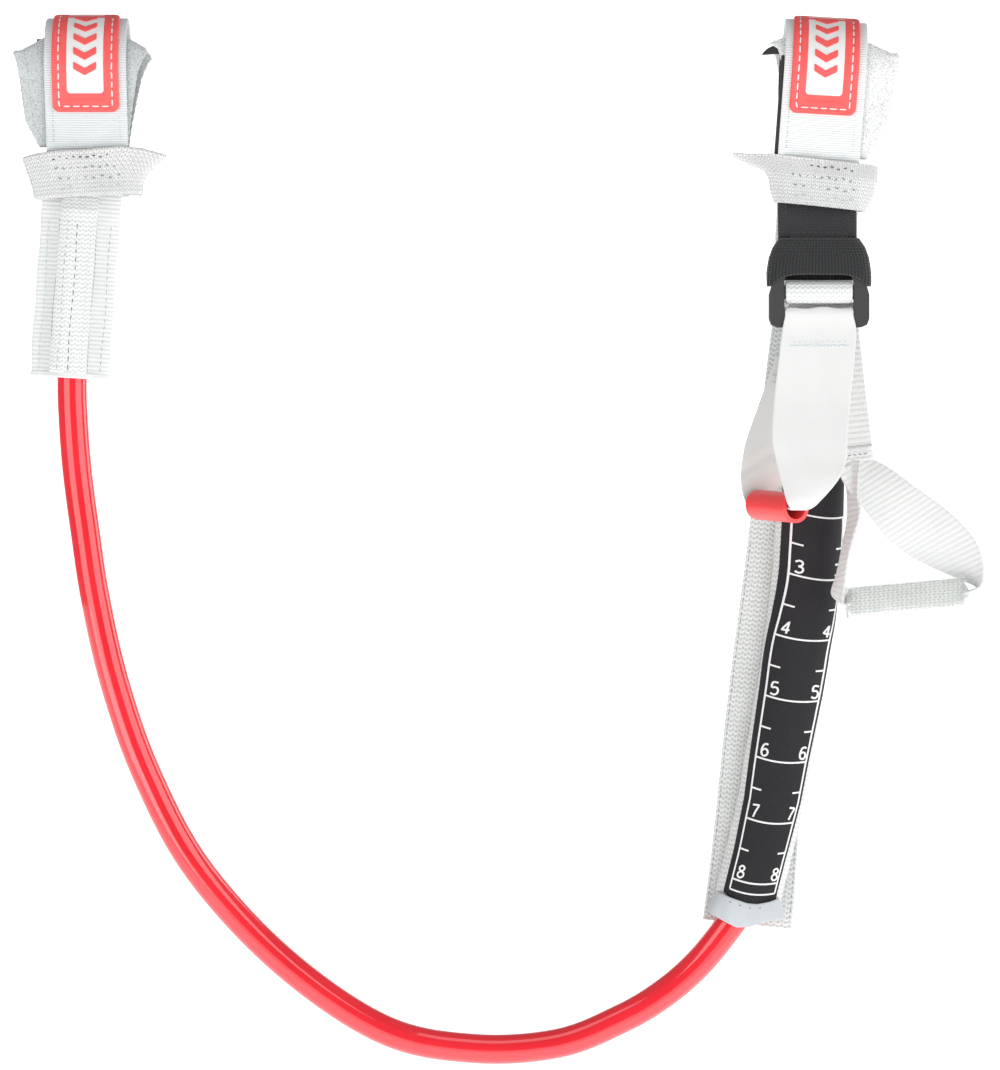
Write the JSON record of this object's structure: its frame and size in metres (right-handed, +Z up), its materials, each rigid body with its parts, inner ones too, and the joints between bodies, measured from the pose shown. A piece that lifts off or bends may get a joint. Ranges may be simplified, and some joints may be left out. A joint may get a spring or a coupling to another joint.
{
  "type": "harness line",
  "caption": "Adjustable harness line: a tubed rope in a U between two boom straps, with a scale sleeve, a cam buckle, a release ribbon and a pull loop.",
  "frame": {"origin": "centre of the boom in the fixed (left) strap", "axes": "+X along the boom towards the adjustable strap, +Z up, the front with the badges and the scale faces -Y"},
  "size_m": [0.3906, 0.0552, 0.4301],
  "materials": {
    "tube_red": "glossy polyurethane tube",
    "rope_white": "braided rope",
    "plug_dark": "moulded",
    "webbing_white": "ribbed webbing",
    "strap_grey": "fine-ribbed webbing",
    "liner_rubber": "matt rubber",
    "pad_pile": "looped pile",
    "badge_rubber": "soft moulded rubber",
    "inlay_white": "soft moulded rubber",
    "hook_grey": "hook tape",
    "webbing_black": "ribbed webbing",
    "label_black": "fine woven label",
    "print_white": "printed marks",
    "buckle_black": "moulded plastic",
    "elastic_black": "coarse elastic weave",
    "ribbon_satin": "satin ribbon",
    "handle_red": "soft tube",
    "grip_clear": "clear tube"
  },
  "bodies": {
    "line": {"red_tube": "tube_red", "core_rope": "rope_white", "fixed_end_plug": "plug_dark", "slide_end_plug": "plug_dark", "anchor_tongue": "webbing_white", "fixed_sleeve": "webbing_white", "sleeve_seam_tape": "webbing_white", "fixed_back_strap": "strap_grey", "fixed_liner": "liner_rubber", "fixed_pad": "pad_pile", "fixed_keeper": "webbing_white", "rising_webbing": "webbing_white"},
    "fixed_flap": {"fixed_flap_strap": "strap_grey", "fixed_badge": "badge_rubber", "fixed_badge_inlay": "inlay_white", "fixed_hook_patch": "hook_grey"},
    "adjust_end": {"adjust_liner": "liner_rubber", "adjust_pad": "pad_pile", "adjust_back_strap": "strap_grey", "adjust_keeper": "webbing_white", "hanger_webbing": "webbing_white", "black_webbing": "webbing_black", "sleeve_base": "webbing_white", "scale_sleeve": "webbing_white", "scale_label": "label_black", "scale_marks": "print_white", "sleeve_cuff": "webbing_white"},
    "adjust_flap": {"adjust_flap_strap": "strap_grey", "adjust_badge": "badge_rubber", "adjust_badge_inlay": "inlay_white", "adjust_hook_patch": "hook_grey"},
    "buckle": {"buckle_frame": "buckle_black", "bar_webbing": "webbing_white", "elastic_cover": "elastic_black"},
    "pull_tab": {"release_ribbon": "ribbon_satin"},
    "release_handle": {"release_tube": "handle_red"},
    "tail": {"tail_webbing": "webbing_white", "loop_stitch_block": "webbing_white", "loop_webbing": "webbing_white", "clear_grip": "grip_clear"}
  },
  "joints": [
    {"name": "fixed_flap_open", "type": "hinge", "parent": "line", "child": "fixed_flap", "pos_m": [0, 0, 0.01845], "axis": [-1, 0, 0], "range_deg": [0, 120]},
    {"name": "length_adjust", "type": "slide", "parent": "line", "child": "adjust_end", "axis": [0.1167, 0, 0.9932], "range_m": [0, 0.05], "deforming": ["rising_webbing"]},
    {"name": "adjust_flap_open", "type": "hinge", "parent": "adjust_end", "child": "adjust_flap", "pos_m": [0.30256, 0, 0.01742], "axis": [-0.9983, 0, 0.0576], "range_deg": [0, 120]},
    {"name": "buckle_tilt", "type": "hinge", "parent": "adjust_end", "child": "buckle", "pos_m": [0.2993, -0.006, -0.076], "axis": [-1, 0, 0], "range_deg": [0, 35]},
    {"name": "pull_tab_swing", "type": "hinge", "parent": "buckle", "child": "pull_tab", "pos_m": [0.2993, -0.006, -0.104], "axis": [-1, 0, 0], "range_deg": [0, 90]},
    {"name": "release_handle_spin", "type": "hinge", "parent": "pull_tab", "child": "release_handle", "pos_m": [0.2744, -0.007, -0.1809], "axis": [0.5143, -0.856, -0.0523], "continuous": true},
    {"name": "tail_feed", "type": "slide", "parent": "adjust_end", "child": "tail", "axis": [-0.1141, 0, 0.9935], "range_m": [0, 0.05], "deforming": ["tail_webbing"]}
  ],
  "couplings": [
    {"joint": "tail_feed", "follows": "length_adjust", "ratio": 1}
  ]
}
